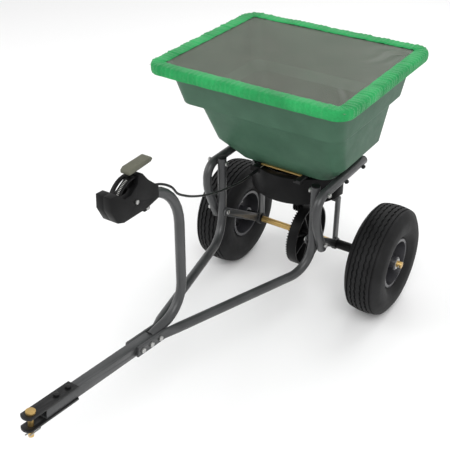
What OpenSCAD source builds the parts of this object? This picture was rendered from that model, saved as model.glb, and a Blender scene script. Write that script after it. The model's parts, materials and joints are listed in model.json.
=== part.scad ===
// Tow-behind broadcast spreader: a tiered hopper on a bent-tube frame, with two
// pneumatic wheels, a crown gear on the axle that turns a spinning disc, a sliding
// gate worked by a lever and cable, and a clevis hitch.
//
// All modules draw in the machine frame: X = 0 is the frame's middle plane, Y = 0 and
// Z = 0 are the axle's centre line, and the hitch points along -Y. place() then moves
// the whole machine so that it stands on Z = 0 under the middle of its outline.

/* [Wheels] */
// Outside radius of the tyres
tyre_r = 165; // [140:1:200]
// Width of the tyres
tyre_w = 116; // [90:1:120]
// Thickness of the tyres' walls
tyre_wall = 7; // [5:0.5:9]
// Distance between the middles of the two wheels
track = 510; // [490:1:620]
// How far the wheels' middle stands to the left of the frame's middle plane
wheel_offset = 30; // [15:1:40]
// Radius of the rims at their flanges
rim_r = 75; // [65:1:78]
// Thickness of the rims' sheet
rim_t = 3; // [2:0.5:4]

/* [Axle and gears] */
// Diameter of the axle rod
axle_d = 19; // [15:0.5:24]
// Wall of the axle's bushes
bush_wall = 3; // [2:0.5:5]
// Teeth on the crown gear
crown_teeth = 68; // [56:4:72]
// Teeth on the pinion
pinion_teeth = 12; // [10:2:14]
// Tooth pitch of both gears divided by pi
gear_module = 2.5; // [2.2:0.1:2.6]
// Thickness of the crown gear's rim
crown_t = 30; // [15:1:36]

/* [Spinning disc] */
// Radius of the spinning disc
disc_r = 128; // [90:1:132]
// Number of vanes on the disc
vane_count = 6; // [3:1:8]
// Height of the disc above the axle
disc_h = 179; // [170:1:190]
// Diameter of the disc's upright shaft
shaft_d = 12; // [10:0.5:16]

/* [Hopper] */
// Width of the hopper over its lip
hopper_w = 578; // [480:1:700]
// Depth of the hopper over its lip, front to back
hopper_d = 514; // [430:1:620]
// How far the lip's middle stands ahead of the axle
hopper_lead = 83; // [60:1:110]
// Height from the hopper's floor to its lip
hopper_h = 322; // [270:1:390]
// Height of the hopper's floor above the axle
floor_h = 265; // [260:1:280]
// Wall of the hopper
hopper_wall = 4; // [3:0.5:6]
// Width of the hopper's flat lip
lip_w = 27; // [18:1:32]

/* [Frame] */
// Distance between the middles of the two upright tubes
frame_w = 300; // [290:1:330]
// Outside diameter of the frame tubes
tube_d = 25.4; // [20:0.1:28]
// Wall of the frame tubes
tube_wall = 1.6; // [1.2:0.1:3]
// How far the upright tubes stand ahead of the axle
upright_lead = 192; // [188:1:220]
// Height of the lower frame bolts above the axle
lower_bolt_h = 118; // [110:1:126]
// Thickness of the flat steel arms and brackets
strap_t = 5; // [3:0.5:6]

/* [Tow bar and hitch] */
// Distance from the axle to the hitch pin
hitch_reach = 1134; // [1080:1:1400]
// Height of the hitch pin's middle above the axle
hitch_h = 133; // [110:1:170]
// Distance from the axle to where the side tubes meet the tow bar
joint_reach = 700; // [640:1:760]
// Diameter of the hitch pin
hitch_pin_d = 12.7; // [10:0.1:16]
// Width of the hitch straps
hitch_strap_w = 31; // [26:1:40]

/* [Controls] */
// Distance from the axle to the control post's upright stretch
post_reach = 602; // [580:1:640]
// Height of the control post's upper bend above the axle
post_h = 450; // [400:1:500]
// Angle that the rate lever turns through
lever_swing = 40; // [20:1:42]
// Travel of the gate
gate_travel = 30; // [20:1:32]

/* [Cover] */
// Thickness of the elastic band round the lip
band_t = 6; // [4:0.5:9]
// Height of the elastic band
band_h = 36; // [24:1:44]

/* [Hidden] */
$fn = 64;

STEEL = [0.30, 0.30, 0.31];
BLACK = [0.13, 0.13, 0.13];
RUBBER = [0.09, 0.09, 0.09];
ZINC = [0.78, 0.68, 0.44];
BRIGHT = [0.72, 0.72, 0.72];
GREEN = [0.30, 0.44, 0.36];
BAND = [0.20, 0.66, 0.36];
SHEET = [0.62, 0.62, 0.60, 0.5];

eps = 0.01;
fit = 0.3;          // gap between pieces that sit beside each other
running = 0.05;     // radial gap of a shaft in its bush
bolt_d = 8;
hole_d = 8.6;
head_h = 5;
head_d = 14;
gravel_clear = 2;

// --- Placing ---
axle_r = axle_d / 2;
tube_r = tube_d / 2;
wheel_x = [wheel_offset + track / 2, wheel_offset - track / 2];
hub_half = 45;
axle_over = 17;
axle_end = [for (s = [0, 1]) wheel_x[s] + (s == 0 ? 1 : -1) * (hub_half + axle_over)];
strap_tip = 21;
cover_half = hopper_w / 2 + band_t;
cover_back = hopper_d / 2 - hopper_lead + band_t;
joint_z = 74;
tow_slope = atan2(hitch_h - joint_z, hitch_reach - joint_reach);
strap_z = tube_r + fit / 2;
hitch_front = hitch_reach + strap_tip * cos(tow_slope) + (strap_z + strap_t) * sin(tow_slope);
origin_x = (axle_end[0] - cover_half) / 2;
origin_y = (cover_back - hitch_front) / 2;

module place() {
    translate([-origin_x, -origin_y, tyre_r]) children();
}

// --- Helpers ---
function unit(v) = v / norm(v);
function side(s) = s == 0 ? 1 : -1;

// A rod from a to b, by direct rotation of a cylinder.
module rod(a, b, r) {
    v = b - a;
    translate(a)
        rotate([0, acos(v[2] / norm(v)), atan2(v[1], v[0])])
            cylinder(r = r, h = norm(v));
}

function turn_at(p, i) = acos(max(-1, min(1, unit(p[i] - p[i - 1]) * unit(p[i + 1] - p[i]))));
function axis_at(p, i) = unit(cross(p[i] - p[i - 1], p[i + 1] - p[i]));
tube_sides = 24;
bend_step = 10;
side_angles = [for (k = [0:tube_sides - 1]) 360 * (k + 0.5) / tube_sides];
// The places along a path in one plane where a ring of the tube's skin stands, each with
// the direction that the tube runs there.
function stations(p, radii) =
    let(last = len(p) - 1)
    concat(
        [[p[0], unit(p[1] - p[0])]],
        [for (i = [1:last - 1])
            let(turn = turn_at(p, i), r = radii[i - 1], steps = ceil(turn / bend_step),
                u = unit(p[i] - p[i - 1]), v = unit(cross(axis_at(p, i), u)),
                c = p[i] - u * r * tan(turn / 2) + v * r)
            for (k = [0:steps])
                let(a = turn * k / steps)
                [c - v * r * cos(a) + u * r * sin(a), u * cos(a) + v * sin(a)]],
        [[p[last], unit(p[last] - p[last - 1])]]
    );

// A hollow tube along p, whose points lie in one plane, with a bend radius at each inner
// point. Its skin runs out along the outside and back along the bore.
module bent_tube(p, radii) {
    out = stations(p, radii);
    n = len(out);
    m = tube_sides;
    flat = axis_at(p, 1);
    polyhedron(
        points = [for (w = [0, 1], i = [0:n - 1])
            let(st = out[w == 0 ? i : n - 1 - i], r = w == 0 ? tube_r : tube_r - tube_wall,
                up = cross(flat, st[1]))
            for (a = side_angles) st[0] + r * (cos(a) * flat + sin(a) * up)],
        faces = [for (j = [0:2 * n - 1], k = [0:m - 1])
            let(h = (j + 1) % (2 * n), q = (k + 1) % m)
            [j * m + k, j * m + q, h * m + q, h * m + k]],
        convexity = 10
    );
}

// A hexagon-headed bolt along +Z from z = 0, which is under its head, with a nut that
// starts at grip. The nut is hollow so that it and the shank stay one solid.
module bolt(grip, d = bolt_d, head = head_d, h = head_h) {
    translate([0, 0, -h]) cylinder(d = head, h = h, $fn = 6);
    cylinder(d = d, h = grip + h + 3);
    translate([0, 0, grip]) cylinder(d = head, h = h + 1, $fn = 6);
}

module along_x(p, s = 1) {
    translate(p) rotate([0, 90 * s, 0]) children();
}

// --- Hopper shape ---
floor_t = 5;
lip_t = 4;
lip_z = floor_h + hopper_h;
lip_x = hopper_w / 2;
lip_front = -hopper_lead - hopper_d / 2;
lip_back = hopper_d / 2 - hopper_lead;
rail_gap = 0.3;
upright_x = frame_w / 2;
upright_y = -upright_lead;
rail_x = upright_x + tube_d + rail_gap;
floor_x = upright_x;
floor_front = -112;
floor_back = 62;
ledge_z = floor_h + 62;
ledge_x = rail_x + 27.3;
ledge_front = floor_front - 48;
ledge_back = floor_back + 50;
corner_r = 38;

// Height share above the ledge and width share towards the lip at each tier's edge.
tier_share = [[0, 0, 0, 0], [0.44, 0.22, 0.29, 0.07], [0.54, 0.465, 0.58, 0.36], [0.98, 0.686, 0.79, 0.55]];
function tier(s, inset) = [
    ledge_z + s[0] * (lip_z - ledge_z),
    ledge_x + s[1] * (lip_x - ledge_x) - inset,
    ledge_front + s[2] * (lip_front - ledge_front) + inset,
    ledge_back + s[3] * (lip_back - ledge_back) - inset
];

corner_steps = 6;
function ring(level, r) =
    let(x = level[1], f = level[2], b = level[3])
    [for (q = [0:3], k = [0:corner_steps])
        let(a = 90 * q + 90 * k / corner_steps,
            cx = (q == 0 || q == 3) ? x - r : r - x,
            cy = (q < 2) ? b - r : f + r)
        [cx + r * cos(a), cy + r * sin(a), level[0]]];

outer_levels = concat(
    [[floor_h, floor_x, floor_front, floor_back]],
    [for (s = tier_share) tier(s, 0)],
    [[lip_z - lip_t, lip_x - lip_w, lip_front + lip_w, lip_back - lip_w],
     [lip_z - lip_t, lip_x, lip_front, lip_back],
     [lip_z, lip_x, lip_front, lip_back]]
);
// How far the funnel has widened at the floor's upper face, as a share of the ledge's height.
foot = floor_t / (ledge_z - floor_h);
inner_levels = concat(
    [[lip_z, lip_x - lip_w - hopper_wall, lip_front + lip_w + hopper_wall, lip_back - lip_w - hopper_wall]],
    [for (i = [3:-1:0]) tier(tier_share[i], hopper_wall)],
    [[floor_h + floor_t,
        floor_x + foot * (ledge_x - floor_x) - hopper_wall,
        floor_front + foot * (ledge_front - floor_front) + hopper_wall,
        floor_back + foot * (ledge_back - floor_back) - hopper_wall]]
);

// A solid between rings of equally many points, closed at its first and last ring.
module skin(rings) {
    n = len(rings[0]);
    m = len(rings);
    polyhedron(
        points = [for (g = rings) each g],
        faces = concat(
            [[for (i = [0:n - 1]) i]],
            [for (j = [0:m - 2], i = [0:n - 1])
                [j * n + i, (j + 1) * n + i, (j + 1) * n + (i + 1) % n, j * n + (i + 1) % n]],
            [[for (i = [n - 1:-1:0]) (m - 1) * n + i]]
        ),
        convexity = 8
    );
}

module loft(levels, r) {
    skin([for (l = levels) ring(l, r)]);
}

// A closed band: the last ring joins the first.
module ringed(levels, r) {
    m = len(levels);
    n = len(ring(levels[0], r));
    polyhedron(
        points = [for (l = levels) each ring(l, r)],
        faces = [for (j = [0:m - 1], i = [0:n - 1])
            let(h = (j + 1) % m, q = (i + 1) % n)
            [j * n + i, h * n + i, h * n + q, j * n + q]],
        convexity = 8
    );
}

// The hopper's funnel wall leans at this slope where the rails carry it.
funnel_dir = unit([ledge_x - floor_x, ledge_z - floor_h]);
funnel_out = [funnel_dir[1], -funnel_dir[0]];
rail_off = tube_r + rail_gap;
rail_s = (rail_x - floor_x - funnel_out[0] * rail_off) / funnel_dir[0];
rail_z = floor_h + rail_s * funnel_dir[1] + funnel_out[1] * rail_off;
hopper_bolt_y = [-80, 25];
outlet_r = 13;
outlets = [[42, 0], [-42, 0], [0, -60]];
upper_bush_r = shaft_d / 2 + running + bush_wall;

// Turns +Z to the funnel wall's outward normal on one side of the machine.
module through_funnel(s, y) {
    p = [rail_x - funnel_out[0] * rail_off, rail_z - funnel_out[1] * rail_off];
    translate([side(s) * p[0], y, p[1]])
        rotate([0, side(s) * (90 + atan2(-funnel_out[1], funnel_out[0])), 0])
            children();
}

module hopper() color(GREEN) place()
    difference() {
        loft(concat(outer_levels, inner_levels), corner_r);
        translate([0, 0, floor_h - 1]) cylinder(r = upper_bush_r, h = floor_t + 2);
        for (o = outlets)
            translate([o[0], o[1], floor_h - 1]) cylinder(r = outlet_r, h = floor_t + 2);
        for (s = [0, 1], y = hopper_bolt_y)
            through_funnel(s, y) translate([0, 0, -12]) cylinder(d = hole_d, h = 24);
    }

funnel_skin = hopper_wall * funnel_out[0];
module hopper_bolts() color(BLACK) place()
    for (s = [0, 1], y = hopper_bolt_y)
        through_funnel(s, y)
            translate([0, 0, -funnel_skin - fit])
                bolt(funnel_skin + 2 * fit + rail_gap + tube_d);

// --- Frame tubes ---
rail_back = 45;
function rail_path(s) = [
    [side(s) * rail_x, upright_y + 9, lower_bolt_h - 21],
    [side(s) * rail_x, upright_y - 40, lower_bolt_h + 89],
    [side(s) * rail_x, upright_y - 34, rail_z],
    [side(s) * rail_x, rail_back, rail_z]
];
rail_bends = [110, 40];

module hopper_rail(s) color(STEEL) place()
    difference() {
        bent_tube(rail_path(s), rail_bends);
        for (z = [lower_bolt_h, rail_z])
            translate([side(s) * rail_x, upright_y, z]) rotate([0, 90, 0])
                cylinder(d = hole_d, h = tube_d + 4, center = true);
        for (y = hopper_bolt_y)
            through_funnel(s, y) translate([0, 0, -fit]) cylinder(d = hole_d, h = tube_d + 4);
    }
module left_hopper_rail() hopper_rail(0);
module right_hopper_rail() hopper_rail(1);

upright_top = rail_z + 16;
lower_corner_h = 29;
bar_half = tube_r;
paddle_t = 7.5;
paddle_h = 27;
paddle_x = bar_half + fit / 2 + paddle_t / 2;
paddle_len = 105;
neck_len = 45;
side_bend = 75;
function side_path(s) =
    let(end = [side(s) * paddle_x, -joint_reach, joint_z],
        corner = [side(s) * upright_x, upright_y, lower_corner_h])
    [[side(s) * upright_x, upright_y, upright_top], corner, end + unit(corner - end) * neck_len];

// Moves to the tow bar: -Y runs along it to the hitch, from the joint with the side tubes.
module on_bar() {
    translate([0, -joint_reach, joint_z]) rotate([-tow_slope, 0, 0]) children();
}

paddle_bolts = [-22, -57, -90];

// A side tube's crushed front end: round inside the tube, then a flat paddle that runs
// along the tow bar.
function squared(a, n) = sign(a) * pow(abs(a), n);
function crushed(s, y) =
    let(along = [0, -cos(tow_slope), sin(tow_slope)], up = [0, sin(tow_slope), cos(tow_slope)])
    [for (a = side_angles)
        [side(s) * paddle_x + paddle_t / 2 * squared(cos(a), 0.35), -joint_reach, joint_z]
            + y * along + paddle_h / 2 * squared(sin(a), 0.35) * up];
function round_ring(station, flat, r) =
    let(w = cross(station[1], -flat))
    [for (a = side_angles) station[0] + r * (sin(a) * w - cos(a) * flat)];
module crushed_tube(s) {
    p = side_path(s);
    out = stations(p, [side_bend]);
    n = len(out);
    flat = axis_at(p, 1);
    skin(concat(
        [for (i = [n - 1:-1:0]) round_ring(out[i], flat, tube_r - tube_wall)],
        [for (i = [0:n - 1]) round_ring(out[i], flat, tube_r)],
        [crushed(s, 0), crushed(s, paddle_len)]
    ));
}

module side_tube(s) color(STEEL) place()
    difference() {
        crushed_tube(s);
        for (z = [lower_bolt_h, rail_z])
            translate([side(s) * upright_x, upright_y, z]) rotate([0, 90, 0])
                cylinder(d = hole_d, h = tube_d + 4, center = true);
        for (y = paddle_bolts)
            on_bar() translate([0, y, 0]) rotate([0, 90, 0])
                cylinder(d = hole_d, h = 4 * tube_d, center = true);
    }
module left_side_tube() side_tube(0);
module right_side_tube() side_tube(1);

cap_t = 3;
module tube_caps() color(BLACK) place()
    for (s = [0, 1]) {
        translate([side(s) * upright_x, upright_y, upright_top]) {
            cylinder(r = tube_r, h = cap_t);
            translate([0, 0, -10]) cylinder(r = tube_r - tube_wall - 0.1, h = 10 + eps);
        }
        translate([side(s) * rail_x, rail_back, rail_z]) rotate([-90, 0, 0]) {
            cylinder(r = tube_r, h = cap_t);
            translate([0, 0, -8]) cylinder(r = tube_r - tube_wall - 0.1, h = 8 + eps);
        }
    }

post_foot = 35;
post_bends = [80, 135];
post_top = [0, -post_reach - 150, post_h + 27];
post_path = [
    [0, -joint_reach - post_foot, joint_z + 8],
    [0, -post_reach, joint_z + 17],
    [0, -post_reach, post_h],
    post_top
];
module control_post() color(STEEL) place()
    difference() {
        bent_tube(post_path, post_bends);
        on_bar() translate([0, paddle_bolts[0], 0]) rotate([0, 90, 0])
            cylinder(d = hole_d, h = 4 * tube_d, center = true);
    }

bar_wall = 2;
bar_back = 40;
bar_len = norm([hitch_reach - joint_reach, hitch_h - joint_z]) - bar_back - 34;
strap_bolts = [112, 76];
pin_y = -bar_back - bar_len - 34;
module tow_bar() color(STEEL) place() on_bar()
    difference() {
        translate([-bar_half, -bar_back - bar_len, -bar_half]) cube([2 * bar_half, bar_len, 2 * bar_half]);
        translate([bar_wall - bar_half, -bar_back - bar_len - 1, bar_wall - bar_half])
            cube([2 * (bar_half - bar_wall), bar_len + 2, 2 * (bar_half - bar_wall)]);
        for (y = [paddle_bolts[1], paddle_bolts[2]])
            translate([0, y, 0]) rotate([0, 90, 0]) cylinder(d = hole_d, h = 4 * tube_d, center = true);
        for (b = strap_bolts)
            translate([0, pin_y + b, 0]) cylinder(d = hole_d, h = 4 * tube_d, center = true);
    }

arm_in = upright_x - tube_r - fit - strap_t;
module frame_bolts() color(BRIGHT) place() {
    for (s = [0, 1]) {
        along_x([side(s) * arm_in, upright_y, lower_bolt_h], side(s))
            bolt(strap_t + 2 * tube_d + fit + 2 * rail_gap + fit);
        along_x([side(s) * (upright_x - tube_r - fit), upright_y, rail_z], side(s))
            bolt(2 * tube_d + fit + 2 * rail_gap + fit);
    }
    for (y = paddle_bolts)
        on_bar() along_x([paddle_x + paddle_t / 2 + fit, y, 0], -1)
            bolt(2 * (paddle_x + paddle_t / 2 + fit));
}

// --- Axle arms and the bracket that carries the upright shaft ---
bush_r = axle_r + running + bush_wall;
eye_r = bush_r + 5.5;
arm_h = 25;
arm_run = [-upright_y, -lower_bolt_h];
module axle_arm(s) color(STEEL) place()
    translate([side(s) * (arm_in + strap_t / 2), 0, 0]) rotate([0, 90, 0])
        linear_extrude(height = strap_t, center = true)
            difference() {
                union() {
                    circle(r = eye_r);
                    translate([-lower_bolt_h, upright_y]) circle(d = arm_h);
                    rotate([0, 0, atan2(upright_y, -lower_bolt_h)])
                        translate([0, -arm_h / 2]) square([norm(arm_run), arm_h]);
                }
                circle(r = bush_r);
                translate([-lower_bolt_h, upright_y]) circle(d = hole_d);
            }
module left_axle_arm() axle_arm(0);
module right_axle_arm() axle_arm(1);

leg_out = arm_in - fit;
leg_in = leg_out - strap_t;
bracket_h = 150;
bracket_w = 28;
lower_bush_r = upper_bush_r;
module gear_bracket() color(STEEL) place()
    difference() {
        union() {
            translate([-leg_out, -bracket_w / 2, bracket_h]) cube([2 * leg_out, bracket_w, strap_t]);
            for (s = [0, 1])
                translate([side(s) * (leg_in + strap_t / 2), 0, 0]) {
                    translate([0, 0, (bracket_h + strap_t) / 2])
                        cube([strap_t, bracket_w, bracket_h + strap_t], center = true);
                    rotate([0, 90, 0]) cylinder(r = eye_r, h = strap_t, center = true);
                }
        }
        rotate([0, 90, 0]) cylinder(r = bush_r, h = 3 * frame_w, center = true);
        translate([0, 0, bracket_h - 1]) cylinder(r = lower_bush_r, h = strap_t + 2);
    }

bush_flange_r = bush_r + 4;
bush_flange_t = 3;
module axle_bush(s) color(BLACK) place()
    along_x([side(s) * (leg_in - bush_flange_t), 0, 0], side(s))
        difference() {
            union() {
                cylinder(r = bush_flange_r, h = bush_flange_t);
                cylinder(r = bush_r, h = bush_flange_t + 2 * strap_t + fit + 1);
            }
            translate([0, 0, -1]) cylinder(r = axle_r + running, h = 4 * strap_t + 9);
        }
module left_axle_bush() axle_bush(0);
module right_axle_bush() axle_bush(1);

// A flanged bush for the upright shaft, in a plate whose underside is at z.
module shaft_bush(z, plate_t) {
    translate([0, 0, z])
        difference() {
            union() {
                cylinder(r = upper_bush_r, h = plate_t);
                translate([0, 0, plate_t]) cylinder(r = upper_bush_r + 4, h = 2.5);
            }
            translate([0, 0, -1]) cylinder(r = shaft_d / 2 + running, h = plate_t + 5);
        }
}
module lower_shaft_bush() color(BLACK) place() shaft_bush(bracket_h, strap_t);
module upper_shaft_bush() color(BLACK) place() shaft_bush(floor_h, floor_t);

// --- Gate under the floor ---
gate_t = 4;
gate_half = 66;
gate_top = floor_h - fit;
gate_front = floor_front - 6;
gate_back = floor_back - 2;
guide_bottom = floor_h - 10;
guide_front = -150;
guide_out = gate_half + 14;
module gate_guides() color(STEEL) place()
    for (s = [0, 1])
        mirror([s, 0, 0])
            translate([0, floor_back, 0]) rotate([90, 0, 0])
                linear_extrude(height = floor_back - guide_front)
                    polygon([
                        [gate_half - 8, guide_bottom],
                        [guide_out, guide_bottom],
                        [guide_out, floor_h],
                        [gate_half + fit, floor_h],
                        [gate_half + fit, gate_top - gate_t - fit],
                        [gate_half - 8, gate_top - gate_t - fit]
                    ]);

slot_r = shaft_d / 2 + gravel_clear;
module gate_plate() color(ZINC) place()
    difference() {
        translate([-gate_half, gate_front, gate_top - gate_t])
            cube([2 * gate_half, gate_back - gate_front, gate_t]);
        for (o = outlets)
            translate([o[0], o[1] + gate_travel, gate_top - gate_t - 1]) cylinder(r = outlet_r, h = gate_t + 2);
        translate([0, 0, gate_top - gate_t - 1]) cylinder(r = slot_r, h = gate_t + 2);
        translate([0, gate_travel, gate_top - gate_t - 1]) cylinder(r = slot_r, h = gate_t + 2);
        translate([-slot_r, 0, gate_top - gate_t - 1]) cube([2 * slot_r, gate_travel, gate_t + 2]);
    }

wire_x = -56;
wire_z = gate_top - gate_t / 2;
wire_r = 1.2;
ferrule_len = 45;
anchor_t = 3;
wire_tip = guide_front - anchor_t - 4;
module gate_wire() color(BRIGHT) place()
    rod([wire_x, gate_front, wire_z], [wire_x, wire_tip, wire_z], wire_r);

ferrule_end = guide_front - ferrule_len;
module cable_anchor() color(BLACK) place()
    difference() {
        union() {
            translate([-guide_out, guide_front - anchor_t, guide_bottom])
                cube([guide_out + wire_x + 8, anchor_t, wire_z + 8 - guide_bottom]);
            rod([wire_x, guide_front - anchor_t, wire_z], [wire_x, ferrule_end, wire_z], 4.5);
        }
        rod([wire_x, guide_front + 1, wire_z], [wire_x, ferrule_end + 3, wire_z], wire_r + fit);
    }

shield_r = disc_r + 12;
shield_t = 2.5;
shield_bottom = disc_h - 4;
module deflector() color(BLACK) place() {
    translate([0, 0, shield_bottom])
        rotate([0, 0, 180])
            rotate_extrude(angle = 180)
                polygon([
                    [shield_r, 0],
                    [shield_r + shield_t, 0],
                    [shield_r + shield_t, guide_bottom - shield_bottom],
                    [shield_r - 22, guide_bottom - shield_bottom],
                    [shield_r - 22, guide_bottom - shield_bottom - shield_t],
                    [shield_r, guide_bottom - shield_bottom - shield_t]
                ]);
}

// --- Hitch ---
strap_back = 130;
module hitch_strap(s) color(STEEL) place() on_bar()
    mirror([0, 0, s])
        translate([0, 0, strap_z])
            difference() {
                union() {
                    translate([-hitch_strap_w / 2, pin_y, 0])
                        cube([hitch_strap_w, strap_back, strap_t]);
                    translate([0, pin_y, 0])
                        intersection() {
                            cylinder(r = strap_tip, h = strap_t);
                            translate([-hitch_strap_w / 2, -strap_tip - 1, 0])
                                cube([hitch_strap_w, strap_tip + 2, strap_t]);
                        }
                }
                translate([0, pin_y, -1]) cylinder(d = hitch_pin_d + 2 * running, h = strap_t + 2);
                for (b = strap_bolts)
                    translate([0, pin_y + b, -1]) cylinder(d = hole_d, h = strap_t + 2);
            }
module upper_hitch_strap() hitch_strap(0);
module lower_hitch_strap() hitch_strap(1);

module hitch_bolts() color(BRIGHT) place() on_bar()
    for (b = strap_bolts)
        translate([0, pin_y + b, strap_z + strap_t + fit]) rotate([180, 0, 0])
            bolt(2 * (strap_z + strap_t + fit));

pin_head_h = 6;
pin_tail = 24;
pin_top = strap_z + strap_t + fit;
hairpin_z = -strap_z - strap_t - 11;
hairpin_wire = 1.6;
module hitch_pin() color(ZINC) place() on_bar() translate([0, pin_y, 0])
    difference() {
        union() {
            translate([0, 0, hairpin_z - pin_tail + 12])
                cylinder(d = hitch_pin_d, h = pin_top - hairpin_z + pin_tail - 12 + eps);
            translate([0, 0, pin_top]) cylinder(d = hitch_pin_d + 9, h = pin_head_h);
        }
        translate([0, 0, hairpin_z]) rotate([90, 0, 0])
            cylinder(r = hairpin_wire + fit, h = 2 * hitch_pin_d, center = true);
    }

// A wire clip: one straight leg goes through the pin's cross hole, and the sprung leg
// runs outside the pin from the same end loop.
clip_leg = 34;
clip_gap = hitch_pin_d / 2 + hairpin_wire + fit;
module hairpin() color(BRIGHT) place() on_bar() translate([0, pin_y, hairpin_z]) {
    rod([0, -clip_leg / 2, 0], [0, clip_leg / 2, 0], hairpin_wire);
    rod([clip_gap, -clip_leg / 2 + 4, 0], [clip_gap, clip_leg / 2, 0], hairpin_wire);
    translate([clip_gap / 2, clip_leg / 2, 0])
        rotate_extrude(angle = 180) translate([clip_gap / 2, 0]) circle(r = hairpin_wire, $fn = 24);
}

// --- Control head ---
pivot = [-post_reach - 176, post_h + 38];
head_half = 20;
lever_t = 8;
slot_half = lever_t / 2 + 0.6;
scale_r = 52;
scale_t = 4;
scale_half = 14;
scale_front = -95;
scale_back = 20;
head_outline = [
    [78, -26], [78, 4], [44, 34], [26, 57], [13, 57], [8, 38], [-16, 24], [-37, 24], [-58, 44], [-80, 46],
    [-82, 14], [-64, -22], [-44, -30], [36, -33]
];

module scale_ring(grow) {
    rotate([0, -90, 0]) rotate([0, 0, scale_front])
        rotate_extrude(angle = scale_back - scale_front)
            translate([scale_r - grow, -scale_half - grow])
                square([scale_t + 2 * grow, 2 * (scale_half + grow)]);
}

module control_shell(s) color(BLACK) place()
    difference() {
        translate([s == 0 ? running : -head_half, pivot[0], pivot[1]])
            rotate([90, 0, 90])
                linear_extrude(height = head_half - running) polygon(head_outline);
        // The post's end, with more room where the post starts to bend.
        rod(post_top, post_path[2], tube_r + 0.15);
        rod(post_top + unit(post_path[2] - post_top) * post_straight, post_path[2], tube_r + 1.5);
        rod(post_top, post_top + unit(post_top - post_path[2]) * 2, tube_r + 0.15);
        // Room for the lever's hub, and for its arm to swing.
        translate([0, pivot[0], pivot[1]]) {
            rotate([0, 90, 0]) cylinder(r = 14, h = 2 * slot_half, center = true);
            translate([-slot_half, -52, 0]) cube([2 * slot_half, 66, 60]);
            scale_ring(0.1);
        }
        translate([0, pivot[0], pivot[1]]) rotate([0, 90, 0])
            cylinder(d = 6 + 2 * fit, h = 3 * head_half, center = true);
        clamp_body(fit);
    }
post_straight = norm(post_top - post_path[2]) - post_bends[1] * tan(turn_at(post_path, 2) / 2) - 2;
post_rise = (post_top[2] - post_path[2][2]) / (post_path[2][1] - post_top[1]);
function post_axis_z(y) = post_path[2][2] - (y - post_path[2][1]) * post_rise;
clamp_y = post_top[1] + 22;
clamp_w = 18;
clamp_r = tube_r + 5;
clamp_lug = [18, 20, clamp_w];
module clamp_body(grow) {
    translate([0, clamp_y, post_axis_z(clamp_y)]) rotate([90, 0, 0]) {
        cylinder(r = clamp_r + grow, h = clamp_w + 2 * grow, center = true);
        translate([-clamp_lug[0] / 2 - grow, -clamp_r - 16, -clamp_w / 2 - grow])
            cube(clamp_lug + [2 * grow, grow, 2 * grow]);
    }
}
module left_control_shell() control_shell(0);
module right_control_shell() control_shell(1);

module rate_scale() color(BLACK) place()
    translate([0, pivot[0], pivot[1]])
        difference() {
            scale_ring(0);
            rotate([0, -90, 0]) rotate([0, 0, -lever_swing - 8])
                rotate_extrude(angle = lever_swing + 8 + 11)
                    translate([scale_r - 1, -slot_half]) square([scale_t + 2, 2 * slot_half]);
        }

module post_clamp() color(BLACK) place()
    difference() {
        clamp_body(0);
        translate([0, clamp_y, post_axis_z(clamp_y)]) rotate([90, 0, 0]) {
            rotate([-atan(post_rise), 0, 0]) cylinder(r = tube_r + 0.15, h = 3 * clamp_w, center = true);
            translate([-1, -clamp_r - 20, -clamp_w]) cube([2, 20, 2 * clamp_w]);
            translate([0, -clamp_r - 8, 0]) rotate([0, 90, 0])
                cylinder(d = 6.6, h = 40, center = true);
        }
    }

module clamp_screw() color(BRIGHT) place()
    along_x([clamp_lug[0] / 2 + fit, clamp_y, post_axis_z(clamp_y) - clamp_r - 8], -1)
        bolt(clamp_lug[0] + 2 * fit, 6, 11, 4);

module lever_pivot() color(BRIGHT) place()
    along_x([head_half + fit, pivot[0], pivot[1]], -1)
        bolt(2 * (head_half + fit), 6, 11, 4);

grip_len = 74;
grip_w = 26;
grip_z = 64;
grip_t = 12;
module rate_lever() color(BLACK) place()
    translate([0, pivot[0], pivot[1]])
        difference() {
            union() {
                rotate([0, 90, 0]) cylinder(r = 11, h = lever_t, center = true);
                translate([-lever_t / 2, -5, 0]) cube([lever_t, 14, grip_z]);
            }
            rotate([0, 90, 0]) cylinder(d = 6 + 2 * running, h = 2 * lever_t, center = true);
        }

module lever_grip() color([0.40, 0.42, 0.38]) place()
    translate([-grip_w / 2, pivot[0], pivot[1] + grip_z])
        rotate([90, 0, 90])
            linear_extrude(height = grip_w)
                polygon([[-8, 0], [14, 0], [66, 2], [72, 8], [66, 14], [0, 13], [-8, 8]]);

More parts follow.
